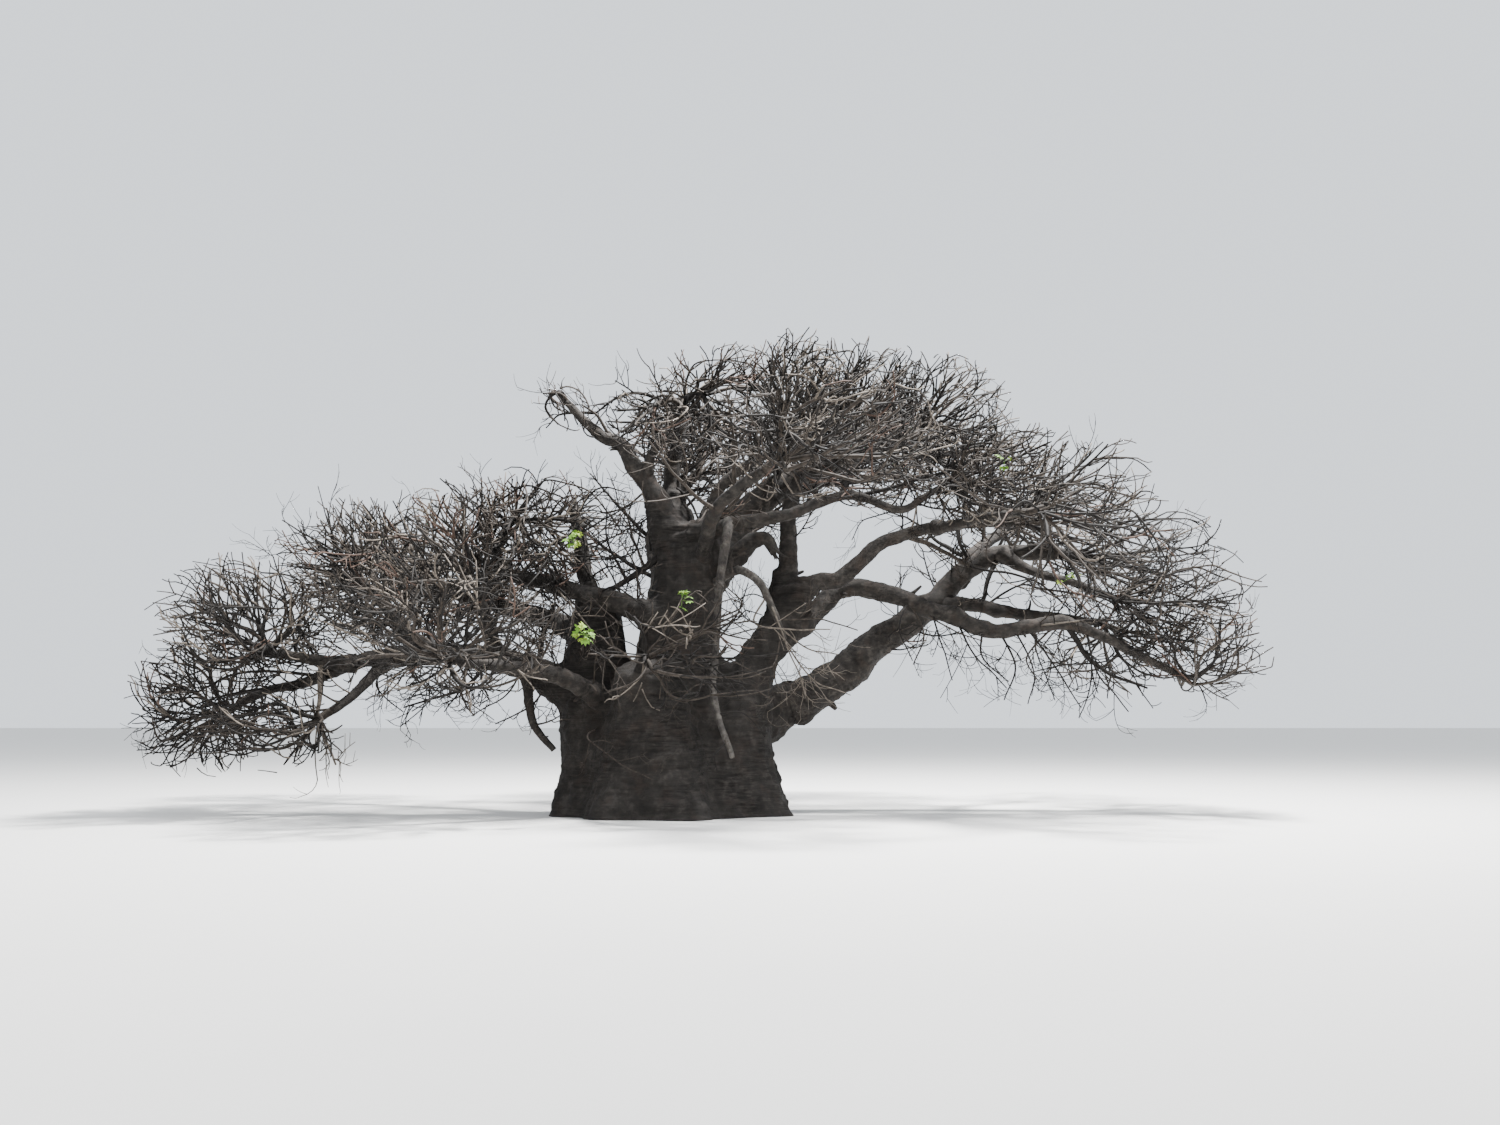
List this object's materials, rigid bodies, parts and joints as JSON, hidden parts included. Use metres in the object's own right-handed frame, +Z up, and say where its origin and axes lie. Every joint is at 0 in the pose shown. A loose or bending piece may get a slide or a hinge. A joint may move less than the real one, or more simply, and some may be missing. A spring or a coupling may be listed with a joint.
{
  "type": "dwarf baobab tree",
  "caption": "Low, wide, leafless baobab with a stout fused trunk, long arching boughs and bare twig masses, cut flat at the ground.",
  "frame": {"origin": "middle of the trunk's flat foot, at ground level", "axes": "+Z up the trunk, +X to the right of the front view, +Y away from the front"},
  "size_m": [14.4959, 9.1874, 6.1359],
  "materials": {
    "trunk_bark": "rough, folded bark",
    "bough_bark": "rough bark",
    "dead_wood": "weathered grey bark",
    "twigs": "dry bare twigs"
  },
  "bodies": {
    "root": {"trunk": "trunk_bark", "low_left_bough": "bough_bark", "low_left_reach": "bough_bark", "prop_bough": "bough_bark", "hanging_bough": "bough_bark", "far_left_bough": "bough_bark", "left_riser": "bough_bark", "mid_left_riser": "bough_bark", "upper_left_bough": "bough_bark", "snag": "bough_bark", "left_back_bough": "bough_bark", "left_front_bough": "bough_bark", "left_leader": "bough_bark", "fork_leader": "bough_bark", "centre_leader": "bough_bark", "right_leader": "bough_bark", "main_top_bough": "bough_bark", "crossing_bough": "bough_bark", "broken_bough": "bough_bark", "back_top_bough": "bough_bark", "back_left_bough": "bough_bark", "front_top_bough": "bough_bark", "grey_arch": "dead_wood", "hanging_stem": "dead_wood", "right_upright": "bough_bark", "right_arch": "bough_bark", "right_low_arch": "bough_bark", "right_low_reach": "bough_bark", "great_right_bough": "bough_bark", "right_low_fork": "bough_bark", "fork_droop": "bough_bark", "right_back_bough": "bough_bark", "right_front_bough": "bough_bark", "left_wisp_twigs": "twigs", "left_tuft_twigs": "twigs", "crest_left_twigs": "twigs", "crest_middle_twigs": "twigs", "crest_right_twigs": "twigs", "crest_far_right_twigs": "twigs", "shoulder_twigs": "twigs", "right_shoulder_twigs": "twigs", "right_middle_twigs": "twigs", "right_outer_twigs": "twigs", "right_lower_twigs": "twigs", "right_tip_twigs": "twigs", "right_back_twigs": "twigs", "right_front_twigs": "twigs", "back_top_twigs": "twigs", "back_left_twigs": "twigs", "front_top_twigs": "twigs", "left_crest_twigs": "twigs", "left_middle_twigs": "twigs", "left_shoulder_twigs": "twigs", "far_left_twigs": "twigs", "far_left_tip_twigs": "twigs", "left_droop_twigs": "twigs", "left_back_twigs": "twigs", "left_front_twigs": "twigs", "front_skirt_twigs": "twigs"}
  },
  "joints": []
}
